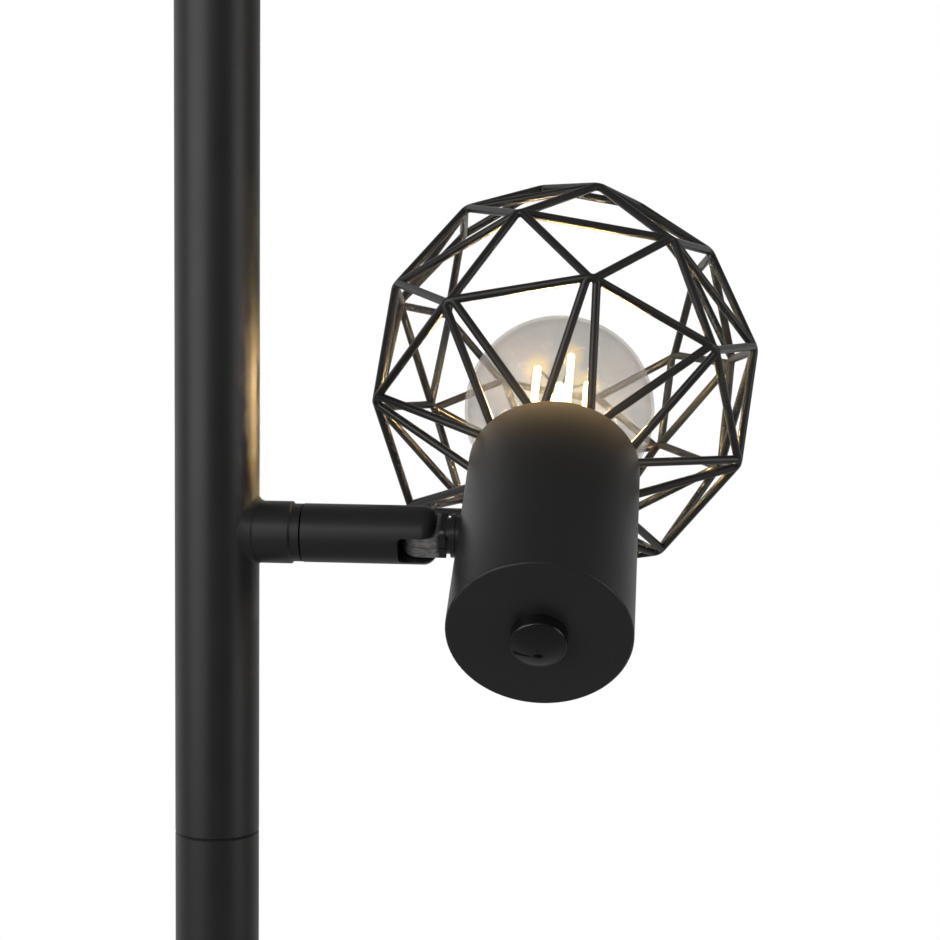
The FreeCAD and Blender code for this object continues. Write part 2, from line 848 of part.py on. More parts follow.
# ---------------------------------------------------------------------------- knuckle and neck
def make_neck():
    """The neck is turned from round bar; its thicker end is milled flat for the arm's slot."""
    neck_radius = d.neck_bar_diameter / 2
    half_thick = d.tongue_thick / 2

    def tongue(name, inset):
        """The flat end with its round eye; inset makes it smaller all round."""
        side = d.eye_diameter / 2 - inset
        block = box(
            f"{name}_block",
            (-side, side),
            (-half_thick, half_thick),
            (pin_position, tongue_end),
        )
        eye = cylinder(f"{name}_eye", side, -half_thick, half_thick, (0, pin_position), "y")
        item = document.addObject("Part::Common", name)
        item.Base = fuse(f"{name}_flat", block, eye)
        bar_radius = d.tongue_bar_diameter / 2 - inset
        item.Tool = cylinder(f"{name}_bar", bar_radius, slot_end, tongue_end)
        return item

    line_half = d.tongue_line_width / 2
    line_slab = box(
        "tongue_line_slab",
        (-d.tongue_bar_diameter, d.tongue_bar_diameter),
        (-line_half, line_half),
        (slot_end, tongue_end),
    )
    line = cut("tongue_line", line_slab, tongue("tongue_core", d.tongue_line_depth))
    turned_part = turned(
        "neck_turned",
        [
            (0, tongue_end),
            (neck_radius, tongue_end),
            (neck_radius, collar_start),
            (d.neck_collar_diameter / 2, collar_start),
            (d.neck_collar_diameter / 2, collar_end),
            (d.stud_diameter / 2, collar_end),
            (d.stud_diameter / 2, stud_end),
            (0, stud_end),
        ],
    )
    channel = box(
        "tongue_channel",
        (-(d.tongue_channel_height / 2), d.tongue_channel_height / 2),
        (-(d.tongue_channel_width / 2), d.tongue_channel_width / 2),
        (slot_end, tongue_end),
    )
    bore = cylinder("neck_bore", d.stud_bore / 2, tongue_end - half_thick / 2, stud_end)
    pin_hole = cylinder(
        "tongue_pin_hole",
        d.pin_diameter / 2 + d.turning_gap,
        -d.tongue_thick,
        d.tongue_thick,
        (0, pin_position),
        "y",
    )
    blank = fuse("tongue_blank", tongue("tongue_outer", 0), turned_part)
    node(cut("swivel_tongue", blank, line, channel, bore, pin_hole), ARM)

    def can_surface(name, radius):
        """A cylinder on the can's axis, in the arm's frame."""
        return cylinder(name, radius, -d.can_length, d.can_length, (0, head_reach), "x")

    spacer = ring(
        "spacer_blank", d.stud_diameter / 2, d.spacer_diameter / 2, collar_end, neck_nut_end
    )
    node(cut("neck_spacer", spacer, can_surface("spacer_saddle", can_radius)), ARM)

    nut = prism("neck_nut_blank", d.neck_nut_width, collar_end, neck_nut_end)
    inner = can_surface("neck_nut_limit", can_radius - d.can_wall)
    nut_body = document.addObject("Part::Common", "neck_nut_body")
    nut_body.Base = nut
    nut_body.Tool = inner
    thread = cylinder("neck_nut_thread", d.stud_diameter / 2, collar_end, stud_end)
    node(cut("neck_nut", nut_body, thread), ARM)


# ---------------------------------------------------------------------------- can and its back
def make_can():
    edge = d.can_edge_radius
    shell = turned(
        "can_shell",
        [
            (0, 0),
            (can_radius - edge, 0),
            (can_radius, edge, edge, 1),
            (can_radius, d.can_length),
            (can_radius - d.can_wall, d.can_length),
            (can_radius - d.can_wall, d.can_back),
            (0, d.can_back),
        ],
    )
    neck_hole = cylinder(
        "can_neck_hole",
        d.stud_diameter / 2,
        -d.can_diameter,
        -(can_radius / 2),
        (0, d.neck_height),
        "x",
    )
    screw_radius = d.back_screw_diameter / 2
    screw_hole = cylinder("can_screw_hole", screw_radius, -d.can_back, d.can_back * 2)
    node(cut("lamp_can", shell, neck_hole, screw_hole), HEAD)

    head_radius = d.back_screw_head_diameter / 2
    node(
        turned(
            "back_screw",
            [
                (0, -d.back_screw_head_height),
                (head_radius - d.can_edge_radius, -d.back_screw_head_height),
                (head_radius, -d.back_screw_head_height + d.can_edge_radius),
                (head_radius, 0),
                (screw_radius, 0),
                (screw_radius, d.back_screw_length),
                (0, d.back_screw_length),
            ],
        ),
        HEAD,
    )

    def cap_outline(radius, rim, rounding, top):
        """A low button from its rim to its middle: upright side, rounded edge, shallow dome."""
        face = radius - rounding
        rise = top - rim - rounding
        dome = (face**2 + rise**2) / (2 * rise)
        return [
            (radius, 0),
            (radius, -rim),
            (face, -(rim + rounding), rounding, -1),
            (0, -top, dome, -1),
        ]

    wall = d.back_cap_wall
    radius, rim, rounding = d.back_cap_diameter / 2, d.back_cap_rim, d.back_cap_rounding
    outer = cap_outline(radius, rim, rounding, d.back_cap_height)
    inner = cap_outline(radius - wall, rim - wall, rounding, d.back_cap_height - wall)
    way_back = [(radius, -rim, rounding, 1), (radius, 0)]
    dome_back = (outer[2][0], outer[2][1], outer[3][2], 1)
    node(turned("back_cap", inner + [(0, outer[3][1]), dome_back] + way_back), HEAD)


# ---------------------------------------------------------------------------- lampholder
def make_lampholder():
    leg_inner = holder_radius + d.bracket_gap
    leg_outer = leg_inner + d.bracket_thick
    half_width = d.bracket_width / 2
    side_screw_radius = d.small_screw_diameter / 2
    across = (-half_width, half_width)
    outside = box("bracket_outside", across, (-leg_outer, leg_outer), (d.can_back, d.bracket_end))
    inside = box(
        "bracket_inside",
        (-d.bracket_width, d.bracket_width),
        (-leg_inner, leg_inner),
        (d.can_back + d.bracket_thick, d.bracket_end * 2),
    )
    back_hole = cylinder("bracket_back_hole", d.back_screw_diameter / 2, 0, d.bracket_end)
    side_hole = cylinder(
        "bracket_side_hole",
        side_screw_radius,
        -d.can_diameter,
        d.can_diameter,
        (0, d.side_screw_height),
        "y",
    )
    node(cut("holder_bracket", outside, inside, back_hole, side_hole), HEAD)

    def screw(name, start, sign, at, axis):
        """A pan head screw; start is where its head sits and sign the way the head points."""
        head = (start, start + d.small_screw_head_height)
        shank = (start - d.small_screw_length, start)
        if sign < 0:
            head = (start - d.small_screw_head_height, start)
            shank = (start, start + d.small_screw_length)
        top = cylinder(f"{name}_head", d.small_screw_head_diameter / 2, *head, at, axis)
        shaft = cylinder(f"{name}_shaft", side_screw_radius, *shank, at, axis)
        return fuse(name, top, shaft)

    side_at = (0, d.side_screw_height)
    side_screws = [
        screw("side_screw_left", leg_outer, 1, side_at, "y"),
        screw("side_screw_right", -leg_outer, -1, side_at, "y"),
    ]
    node(group("bracket_screws", side_screws), HEAD)
    terminals = [
        screw(f"terminal_{name}", d.holder_start, -1, (place, 0), "z")
        for name, place in (("inner", -(d.terminal_spacing / 2)), ("outer", d.terminal_spacing / 2))
    ]
    node(group("terminal_screws", terminals), HEAD)

    bore_radius = thread_radius(1) + d.sleeve_wall + d.fit_gap
    blank = turned(
        "holder_blank",
        [
            (0, d.holder_start),
            (holder_radius, d.holder_start),
            (holder_radius, d.holder_shoulder),
            (d.holder_flange_diameter / 2, flange_bottom),
            (d.holder_flange_diameter / 2, flange_top),
            (d.holder_thread_diameter / 2, flange_top),
            (d.holder_thread_diameter / 2, d.holder_end),
            (d.holder_mouth_diameter / 2, d.holder_end),
            (d.holder_mouth_diameter / 2, d.holder_mouth_floor),
            (bore_radius, d.holder_mouth_floor),
            (bore_radius, d.holder_bore_floor),
            (d.contact_chamber_diameter / 2, d.holder_bore_floor),
            (d.contact_chamber_diameter / 2, d.contact_chamber_floor),
            (0, d.contact_chamber_floor),
        ],
    )
    side_hole = cylinder(
        "holder_side_hole", side_screw_radius, -holder_radius, holder_radius, side_at, "y"
    )
    core_radius = d.contact_chamber_diameter / 2
    core = cylinder("holder_core", core_radius, d.holder_start, d.contact_chamber_floor)
    side_holes = cut("holder_side_holes", side_hole, core)
    terminal_holes = [
        cylinder(
            f"holder_terminal_hole_{side}",
            side_screw_radius,
            d.holder_start,
            d.holder_start + d.small_screw_length,
            (side * (d.terminal_spacing / 2), 0),
        )
        for side in (-1, 1)
    ]
    node(cut("lampholder_body", blank, side_holes, *terminal_holes), HEAD)

    sleeve = [(thread_radius(1) + d.sleeve_wall, d.cap_thread_start)]
    sleeve.append((thread_radius(1) + d.sleeve_wall, thread_end()))
    sleeve.extend(reversed(threads(d.fit_gap * 3)))
    node(turned("threaded_sleeve", sleeve), HEAD)

    floor, leaf = d.contact_chamber_floor, d.contact_thick
    reach = d.contact_chamber_diameter / 2 - leaf
    tip = d.contact_width / 4
    body, sketch = sketched(
        "centre_contact",
        "XZ_Plane",
        [
            (-reach, floor),
            (reach, floor),
            (reach, floor + leaf),
            (-reach + leaf * 2, floor + leaf),
            (tip, d.contact_start - leaf),
            (tip, d.contact_start),
            (-(leaf / 2), d.contact_start),
            (-reach, floor + leaf),
        ],
    )
    pad = body.newObject("PartDesign::Pad", "centre_contact_strip")
    pad.Profile = sketch
    pad.Midplane = True
    bind(pad, Length=d.contact_width)
    body.Tip = pad
    node(body, HEAD)

    ring_bottom = d.base_ring_height + wire_radius + d.shade_ring_gap
    ring_top = ring_bottom + d.shade_ring_height
    thread = d.holder_thread_diameter / 2 + d.fit_gap
    node(ring("shade_ring", thread, d.holder_flange_diameter / 2, ring_bottom, ring_top), HEAD)


# ---------------------------------------------------------------------------- bulb
def thread_radius(crest):
    """The cap's radius at a crest of its thread (1) or at a root (0)."""
    return d.cap_crest_diameter / 2 - d.cap_thread_depth * (1 - crest)


def thread_end():
    return d.cap_thread_start + d.cap_thread_pitch * CAP_THREADS


def threads(gap):
    """The outline of the rolled thread, from its start to its end, a gap outside the cap."""
    points = []
    for step in range(2 * CAP_THREADS + 1):
        height = d.cap_thread_start + d.cap_thread_pitch * (step / 2)
        points.append((thread_radius(step % 2) + gap, height))
    return points


def make_bulb():
    shoulder_sin, shoulder_cos = d.bulb_shoulder_angle.sin(), d.bulb_shoulder_angle.cos()

    def glass(radius, neck_top, neck):
        """The outline from the neck's end to the crown, for the outer or the inner face."""
        shoulder_radius = radius * shoulder_sin
        shoulder_height = d.bulb_centre - radius * shoulder_cos
        drop = (shoulder_radius - neck_top) * shoulder_sin / shoulder_cos
        return [
            (neck, d.neck_end),
            (neck, d.cap_end),
            (neck_top, shoulder_height - drop),
            (shoulder_radius, shoulder_height),
            (0, d.bulb_centre + radius, radius, 1),
        ]

    outer = glass(bulb_radius, d.neck_top_diameter / 2, d.neck_diameter / 2)
    wall = d.glass_wall
    inner = glass(bulb_radius - wall, d.neck_top_diameter / 2 - wall, d.neck_diameter / 2 - wall)
    back = [(0, inner[4][1]), (inner[3][0], inner[3][1], inner[4][2], -1)] + inner[2::-1]
    node(turned("bulb_glass", outer + back), HEAD)

    skirt = d.cap_skirt_diameter / 2
    skirt_inner = d.neck_diameter / 2 + d.fit_gap
    cap = [(d.cap_bore / 2, d.cap_start), (thread_radius(0), d.cap_start)]
    cap += threads(0)
    cap += [
        (skirt, d.cap_skirt_start),
        (skirt, d.cap_end),
        (skirt_inner, d.cap_end),
        (skirt_inner, d.cap_skirt_start + d.fit_gap),
        (d.cap_bore / 2, thread_end()),
    ]
    node(turned("bulb_cap", cap), HEAD)

    contact_neck = d.contact_neck_diameter / 2
    node(
        turned(
            "cap_insulator",
            [
                (contact_neck, d.insulator_start),
                (d.insulator_tip_diameter / 2, d.insulator_start),
                (d.cap_bore / 2, d.cap_start),
                (d.cap_bore / 2, d.cap_thread_start),
                (contact_neck, d.cap_thread_start),
            ],
        ),
        HEAD,
    )
    contact = d.contact_diameter / 2
    node(
        turned(
            "tip_contact",
            [
                (0, d.contact_start),
                (contact / 2, d.contact_start),
                (contact, (d.contact_start + d.insulator_start) / 2),
                (contact, d.insulator_start),
                (contact_neck, d.insulator_start),
                (contact_neck, d.cap_thread_start),
                (0, d.cap_thread_start),
            ],
        ),
        HEAD,
    )

    rod_radius = d.stem_rod_diameter / 2
    node(
        turned(
            "glass_stem",
            [
                (0, d.stem_flare_start),
                (d.stem_flare_diameter / 2, d.stem_flare_start),
                (d.stem_flare_diameter / 2, d.stem_flare_start + d.glass_wall),
                (rod_radius, d.stem_waist, d.stem_flare_diameter, -1),
                (rod_radius, d.stem_end - rod_radius),
                (0, d.stem_end, rod_radius, 1),
            ],
        ),
        HEAD,
    )

    half_board = d.driver_width / 2
    half_thick = d.driver_thick / 2
    board = box(
        "driver_board_blank",
        (-half_board, half_board),
        (-half_thick, half_thick),
        (d.driver_start, d.driver_start + d.driver_length),
    )
    node(group("driver_board", [board]), HEAD)

    sticks, wires = [], []
    wire = d.filament_wire_diameter.number / 2
    clear = d.filament_wire_diameter.number
    for count in range(FILAMENTS):
        turn = d.filament_turn.number + 360 / FILAMENTS * count
        circle = d.filament_circle_diameter.number / 2
        low = on_circle(circle, turn, d.filament_start.number)
        high = on_circle(circle, turn, d.filament_end.number)
        sticks.append(rod(low, high, d.filament_diameter.number / 2))
        rod_side = rod_radius.number - wire
        foot = on_circle(rod_side, turn, d.stem_waist.number + clear)
        head = on_circle(rod_side, turn, d.stem_end.number - rod_radius.number)
        wires.append(rod(foot, low - Vector(0, 0, wire), wire))
        wires.append(rod(head, high + Vector(0, 0, wire), wire))
    node(shaped("filaments", Part.makeCompound(sticks)), HEAD)
    node(shaped("filament_wires", Part.makeCompound(wires)), HEAD)


# ---------------------------------------------------------------------------- wire cage
def ring_corners(radius, height, half_step):
    """The corners of one ring; every second ring is turned by half a side."""
    side = 360 / CAGE_SIDES
    first = d.cage_turn.number + (side / 2 if half_step else 0)
    return [on_circle(radius.number, first + side * i, height.number) for i in range(CAGE_SIDES)]


def make_cage():
    """Five rings, each joined to the next by one wire that runs to and fro between them."""
    radius = wire_radius.number
    rings = [
        ring_corners(d.base_ring_radius, d.base_ring_height, True),
        ring_corners(d.ring_1_radius, d.ring_1_height, False),
        ring_corners(d.ring_2_radius, d.ring_2_height, True),
        ring_corners(d.ring_3_radius, d.ring_3_height, False),
        ring_corners(d.ring_4_radius, d.ring_4_height, True),
    ]
    names = ["cage_base_ring"] + [f"cage_ring_{number}" for number in range(1, 5)]
    base = Part.makeTorus(d.base_ring_radius.number, radius, Vector(0, 0, d.base_ring_height.number))
    node(shaped(names[0], base), HEAD)
    for name, corners in zip(names[1:], rings[1:]):
        shape = bent_wire(corners, d.cage_ring_bend.number, radius, closed=True, through=True)
        node(shaped(name, shape), HEAD)
    for number, (lower, upper) in enumerate(zip(rings, rings[1:])):
        # the upper ring's corner i lies half a side before or after the lower ring's corner i
        pairs = zip(upper, lower) if number % 2 == 0 else zip(lower, upper)
        corners = [corner for pair in pairs for corner in pair]
        shape = bent_wire(corners, d.cage_web_bend.number, radius, closed=True, through=True)
        node(shaped(f"cage_web_{number + 1}", shape), HEAD)


# ---------------------------------------------------------------------------- internal wiring
def make_wiring():
    """The flex inside the pole, and the two cores that run on through the arm and the neck."""
    flex = d.flex_diameter.number / 2
    core = d.core_diameter.number / 2
    side = -d.flex_offset.number
    height = arm_height.number
    low = (d.pad_thick + d.foot_washer_thick).number
    flex_end = spindle_end.number + core * 3
    route = [Vector(side, 0, low), Vector(side, 0, height), Vector(flex_end, 0, height)]
    node(shaped("pole_flex", bent_wire(route, d.flex_bend.number, flex)))

    channel_side = d.tongue_channel_height.number / 2 - core - d.turning_gap.number * 4
    handover = pin_position.number - d.neck_bar_diameter.number / 2
    cores = []
    for side in (-1, 1):
        route = [
            Vector(side * core * 1.1, 0, flex_end + d.fit_gap.number),
            Vector(side * core * 1.1, 0, flex_end + core * 2),
            Vector(side * channel_side, 0, slot_end.number - core * 4),
            Vector(side * channel_side, 0, handover - core / 2),
        ]
        cores.append(bent_wire(route, d.core_bend.number, core))
    node(shaped("arm_cores", Part.makeCompound(cores)), ARM)

    bend = d.core_bend.number
    bore_side = d.stud_bore.number / 2 - core - d.turning_gap.number * 4
    turn_at = stud_end.number + bend
    neck = d.neck_height.number
    below = d.holder_start.number - d.small_screw_head_height.number - core * 1.5 - neck
    terminal = head_reach.number - d.terminal_spacing.number / 2
    ends = {1: terminal - core, -1: terminal + d.terminal_spacing.number - core}
    cores = []
    for side in (-1, 1):
        out = side * bore_side / 1.5
        route = [
            Vector(side * channel_side, 0, handover + d.core_diameter.number / 2),
            Vector(side * channel_side, 0, pin_position.number + d.pin_diameter.number / 2),
            Vector(side * bore_side / 1.4, 0, tongue_end.number),
            Vector(side * bore_side / 1.4, out / 1.4, tongue_end.number + core * 6),
            Vector(side * bore_side / 1.4, out / 1.4, turn_at),
            Vector(below, out / 1.4, turn_at),
            Vector(below, out / 1.4, ends[side]),
        ]
        cores.append(bent_wire(route, bend, core))
    node(shaped("head_cores", Part.makeCompound(cores)), ARM)


make_foot()
make_pole()
make_swivel()
make_arm()
make_neck()
make_can()
make_lampholder()
make_bulb()
make_cage()
make_wiring()
document.recompute()

for item in document.Objects:
    if "Invalid" in item.State or "Error" in item.State:
        raise RuntimeError(f"{item.Label} did not build: {item.State}")
for item in NODES:
    if item.Shape.isNull() or not item.Shape.isValid():
        raise RuntimeError(f"{item.Label} has no valid shape")

os.makedirs("parts", exist_ok=True)
for item in NODES:
    item.Shape.exportStep(f"parts/{item.Label}.step")
    print(f"{item.Label:20s} solids {len(item.Shape.Solids)} volume {item.Shape.Volume:12.2f}")
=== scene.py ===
import json
import math

import bmesh
import bpy
from mathutils import Matrix, Vector


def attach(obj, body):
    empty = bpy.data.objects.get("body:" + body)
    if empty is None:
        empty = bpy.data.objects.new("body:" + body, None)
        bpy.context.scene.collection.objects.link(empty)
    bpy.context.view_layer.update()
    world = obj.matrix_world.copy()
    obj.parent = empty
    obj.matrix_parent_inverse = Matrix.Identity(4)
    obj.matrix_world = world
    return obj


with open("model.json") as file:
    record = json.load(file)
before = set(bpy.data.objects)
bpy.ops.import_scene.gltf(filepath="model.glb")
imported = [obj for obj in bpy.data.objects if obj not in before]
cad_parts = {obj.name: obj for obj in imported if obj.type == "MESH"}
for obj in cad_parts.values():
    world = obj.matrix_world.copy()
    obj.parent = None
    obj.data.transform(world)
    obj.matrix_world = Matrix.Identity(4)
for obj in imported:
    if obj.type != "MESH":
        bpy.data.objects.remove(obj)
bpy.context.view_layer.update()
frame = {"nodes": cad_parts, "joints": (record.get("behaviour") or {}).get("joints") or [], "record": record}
NODES = frame["nodes"]
JOINTS = {joint["name"]: joint for joint in frame["joints"]}
MM = 0.001

# ---------------------------------------------------------------- places, in metres, as in the CAD
# heights along the head count from the can's back face
ARM_HEIGHT = Vector(JOINTS["arm_roll"]["pos_m"]).z  # of the arm's axis, which runs along +X
SWIVEL = Vector(JOINTS["head_swivel"]["axis"]).normalized()
HEAD_TILT = math.atan2(SWIVEL.y, -SWIVEL.z)
HEAD_REACH = 75.1 * MM  # from the pole's axis to the head's
NECK_HEIGHT = 32.4 * MM  # where the arm's axis meets the head's
OUT = Vector((1, 0, 0))
ALONG = Vector((0, math.cos(HEAD_TILT), math.sin(HEAD_TILT)))  # where the bulb points
ACROSS = Vector((0, -math.sin(HEAD_TILT), math.cos(HEAD_TILT)))
BACK_FACE = Vector((HEAD_REACH, 0, ARM_HEIGHT)) - ALONG * NECK_HEIGHT
POLE_RADIUS = 9.55 * MM
BOSS_RADIUS = 7.05 * MM
BULB_CENTRE = 81.1 * MM


def head_point(radius, degrees, height):
    """A point round the head's axis, counted as the CAD counts it: outwards first, then down."""
    angle = math.radians(degrees)
    around = OUT * math.cos(angle) - ACROSS * math.sin(angle)
    return BACK_FACE + ALONG * height + around * radius


# ---------------------------------------------------------------- camera
FOCAL_PIXELS = 1975.6
IMAGE_PIXELS = 940
SENSOR_MM = 36.0
CAMERA_PLACE = Vector((100.2 * MM, -437.8 * MM, ARM_HEIGHT + 51.8 * MM))
CAMERA_YAW = 5.575
CAMERA_DOWN = 4.80
CAMERA_ROLL = 0.60
NEAREST, FARTHEST = 0.01, 50.0
CLEAR_LAYERS = 48  # how many see-through surfaces a ray may pass

scene = bpy.context.scene
scene.view_settings.view_transform = "Standard"
scene.cycles.transparent_max_bounces = CLEAR_LAYERS
camera = bpy.data.objects.new("camera", bpy.data.cameras.new("camera"))
scene.collection.objects.link(camera)
camera.data.sensor_width = SENSOR_MM
camera.data.lens = FOCAL_PIXELS / IMAGE_PIXELS * SENSOR_MM
camera.data.clip_start = NEAREST
camera.data.clip_end = FARTHEST
turns = (
    Matrix.Rotation(math.radians(CAMERA_YAW), 4, "Z")
    @ Matrix.Rotation(math.radians(90 - CAMERA_DOWN), 4, "X")
    @ Matrix.Rotation(math.radians(CAMERA_ROLL), 4, "Z")
)
camera.matrix_world = Matrix.Translation(CAMERA_PLACE) @ turns
scene.camera = camera


# ---------------------------------------------------------------- nodes
class Tree:
    """A short way to write node trees."""

    def __init__(self, tree):
        self.tree = tree
        tree.nodes.clear()

    def add(self, kind, inputs=None, **settings):
        """Adds a node; an input has a name or a number, and takes a value or an output."""
        item = self.tree.nodes.new(kind)
        for name, value in settings.items():
            setattr(item, name, value)
        for name, value in (inputs or {}).items():
            socket = item.inputs[name]
            if isinstance(value, bpy.types.NodeSocket):
                self.tree.links.new(value, socket)
            else:
                socket.default_value = value
        return item

    def place(self):
        """The object's own coordinates, in metres."""
        return self.add("ShaderNodeTexCoord").outputs["Object"]

    def vector_maths(self, operation, *values):
        return self.add("ShaderNodeVectorMath", dict(enumerate(values)), operation=operation)

    def distance(self, point, place=None):
        away = self.vector_maths("DISTANCE", place or self.place(), point)
        return away.outputs["Value"]

    def along_head(self):
        """How far along the head's axis a point lies from the can's back face, in metres."""
        offset = self.vector_maths("SUBTRACT", self.place(), BACK_FACE).outputs[0]
        return self.vector_maths("DOT_PRODUCT", offset, ALONG).outputs["Value"]

    def noise(self, scale, detail=2.0, rough=0.5, at=None):
        item = self.add(
            "ShaderNodeTexNoise",
            {"Vector": at or self.place(), "Scale": scale, "Detail": detail, "Roughness": rough},
        )
        return item.outputs["Fac"]

    def stretched(self, stretch, place=None):
        """Coordinates in which a pattern is drawn out."""
        inputs = {"Vector": place or self.place(), "Scale": stretch}
        return self.add("ShaderNodeMapping", inputs).outputs[0]

    def span(self, value, low, high, source=(0.0, 1.0)):
        """Maps the source range onto low to high."""
        item = self.add(
            "ShaderNodeMapRange",
            {
                "Value": value,
                "From Min": source[0],
                "From Max": source[1],
                "To Min": low,
                "To Max": high,
            },
        )
        return item.outputs["Result"]

    def span_round(self, value, middle, spread, source):
        """Maps the source range onto the spread round a middle value."""
        return self.span(value, middle + spread[0], middle + spread[1], source)

    def maths(self, operation, *values):
        return self.add("ShaderNodeMath", dict(enumerate(values)), operation=operation).outputs[0]

    def mix(self, factor, first, second):
        item = self.add("ShaderNodeMix", {0: factor, 6: first, 7: second}, data_type="RGBA")
        return item.outputs[2]

    def bump(self, height, distance):
        inputs = {"Height": height, "Distance": distance, "Strength": 1.0}
        return self.add("ShaderNodeBump", inputs).outputs["Normal"]

    def principled(self, inputs):
        """Closes the tree with a principled surface."""
        self.close(self.add("ShaderNodeBsdfPrincipled", inputs).outputs[0])

    def close(self, shader):
        self.add("ShaderNodeOutputMaterial", {"Surface": shader})


def grey(level, warm=0.0):
    return (level * (1 + warm), level, level * (1 - warm), 1.0)


def scaled(colour, factor):
    return tuple(min(channel * factor, 1.0) for channel in colour[:3]) + (1.0,)


def material(name):
    item = bpy.data.materials.new(name)
    item.use_nodes = True
    return item, Tree(item.node_tree)


# ---------------------------------------------------------------- coats, metals and plastics
MOST = (0.3, 0.7)  # most of a noise lies in this range
MIDST = (0.35, 0.65)
WARM = 0.02  # how much warmer than grey the coats are

COAT_CLOUDS = (45.0, 3.0, 0.6)  # scale per metre, detail and roughness of the clouds
PEBBLES = (3.0, 0.55)  # detail and roughness of the grain
SPECKS = (1.0, 0.4)
COAT_IOR = 1.5
COAT_SHEEN = (-0.03, 0.03)  # how far the clouds, and the pebbles, change the coat's roughness
SPECK_SCALE = 0.45  # against the pebbles' scale
SPECK_HEIGHT = 0.7  # against the pebbles' height
# where the coats' painted glow is centred, and how far out it starts to fade
PAINTED_GLOW_CENTRE = (67.0 * MM, 10.0 * MM)  # along the head, and across it
PAINTED_GLOW_START = 14.1 * MM
PAINTED_GLOW_COLOUR = (1.0, 0.66, 0.30, 1.0)


def powder_coat(name, dark, light, rough, grain, depth, glow=0.0, fall=1.0):
    """Satin black powder coat: fine pebbled grain, slight clouds in tone and sheen.

    Near the lit sticks it takes on a painted warm glow, emission on the coat, which fades over the given
    length.
    """
    item, tree = material(name)
    clouds = tree.noise(*COAT_CLOUDS)
    pebbles = tree.noise(grain, *PEBBLES)
    specks = tree.noise(grain * SPECK_SCALE, *SPECKS)
    rough_clouds = tree.span_round(clouds, rough, COAT_SHEEN, MOST)
    rough_pebbles = tree.span(pebbles, *COAT_SHEEN, MIDST)
    height = tree.maths("ADD", pebbles, tree.maths("MULTIPLY", specks, SPECK_HEIGHT))
    inputs = {
        "Base Color": tree.mix(clouds, dark, light),
        "Roughness": tree.maths("ADD", rough_clouds, rough_pebbles),
        "Normal": tree.bump(height, depth),
        "IOR": COAT_IOR,
    }
    # painted glow: emission on the coat near the lit sticks, though the coat is no lamp
    if glow:
        centre = BACK_FACE + ALONG * PAINTED_GLOW_CENTRE[0] + ACROSS * PAINTED_GLOW_CENTRE[1]
        past = tree.maths("SUBTRACT", tree.distance(centre), PAINTED_GLOW_START)
        decay = tree.maths("DIVIDE", tree.maths("MAXIMUM", past, 0.0), -fall)
        inputs["Emission Color"] = PAINTED_GLOW_COLOUR
        inputs["Emission Strength"] = tree.maths("MULTIPLY", tree.maths("EXPONENT", decay), glow)
    tree.principled(inputs)
    return item


METAL_CLOUDS = 120.0
METAL_MARKS = (4.0, 0.6)  # detail and roughness of the marks
METAL_SHEEN = (-0.08, 0.1)  # how far the marks change the roughness
METAL_DULL = 0.72  # the darker parts, against the bright ones


def metal(name, colour, rough, scratch_scale, stretch, depth):
    """Turned or blasted metal with fine uneven marks."""
    item, tree = material(name)
    marks = tree.noise(scratch_scale, *METAL_MARKS, tree.stretched(stretch))
    clouds = tree.noise(METAL_CLOUDS)
    tree.principled(
        {
            "Base Color": tree.mix(clouds, colour, scaled(colour, METAL_DULL)),
            "Metallic": 1.0,
            "Roughness": tree.span_round(marks, rough, METAL_SHEEN, MOST),
            "Normal": tree.bump(marks, depth),
        }
    )
    return item


BARE_END = 50.6 * MM  # how far from the pole's axis the neck is bare: rubbed by the slot, and lighter there as a painted highlight
BARE_FADE = 0.4 * MM
BARE_SPOT_PLACE = Vector((51.6 * MM, -3.6 * MM, ARM_HEIGHT + 1.6 * MM))  # a round bare spot in the neck's coat, lighter than the coat
BARE_SPOT_EDGE = (0.5 * MM, 0.9 * MM)
WEAR_EDGE = 0.6 * MM  # how far the edge of the wear wanders
WEAR_EDGE_NOISE = (700.0, 3.0, 0.6)
RUB_STRETCH = (0.25, 1, 1)
RUB_NOISE = (2600.0, 4.0, 0.65)
RUB_DEPTH = 0.012 * MM
RUB_SHEEN = (0.24, 0.40)
# bare metal: rubbed wear, and made light partly as a painted highlight on the tongue
BARE_METAL_WITH_PAINTED_LIGHT = (grey(0.13, WARM), grey(0.36, WARM))
BARE_METALLIC = 0.45
NECK_COAT = (grey(0.011, WARM), grey(0.015, WARM))


